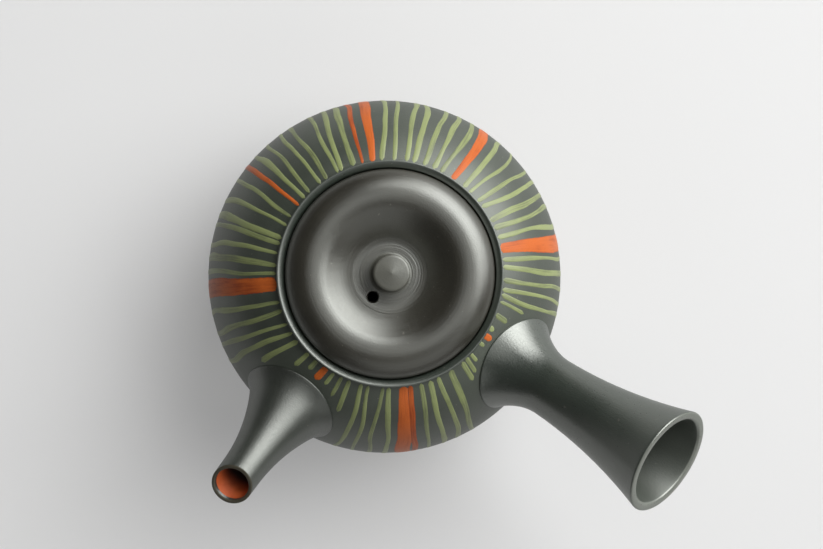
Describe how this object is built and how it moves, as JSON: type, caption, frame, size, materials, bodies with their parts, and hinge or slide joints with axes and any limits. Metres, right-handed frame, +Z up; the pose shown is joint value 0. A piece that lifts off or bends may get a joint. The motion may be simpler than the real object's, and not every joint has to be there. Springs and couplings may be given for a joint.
{
  "type": "side-handled teapot",
  "caption": "Round dark stoneware side-handled teapot (kyusu) with radial painted stripes, a tapered spout, a hollow trumpet handle, an inner strainer and a loose sunken lid with a button knob.",
  "frame": {"origin": "centre of the foot ring, on the plane that the pot stands on", "axes": "+Z up along the body's axis, +X along the spout, the handle at 92.3 degrees from the spout towards +Y"},
  "size_m": [0.1256, 0.1455, 0.0906],
  "materials": {
    "clay_dark": "satin dark grey stoneware, outside painted with green and orange-red slip stripes",
    "clay_spout": "satin dark grey stoneware, orange-red inside",
    "clay_handle": "satin dark grey stoneware",
    "clay_red": "unburnished orange-red stoneware",
    "clay_lid": "satin dark grey stoneware with turning rings",
    "clay_knob": "satin dark grey stoneware"
  },
  "bodies": {
    "pot": {"body": "clay_dark", "spout": "clay_spout", "handle": "clay_handle", "strainer": "clay_red"},
    "lid": {"lid": "clay_lid", "knob": "clay_knob"}
  },
  "joints": [
    {"name": "lid_lift", "type": "slide", "parent": "pot", "child": "lid", "axis": [0, 0, 1], "range_m": [0, 0.06]}
  ]
}
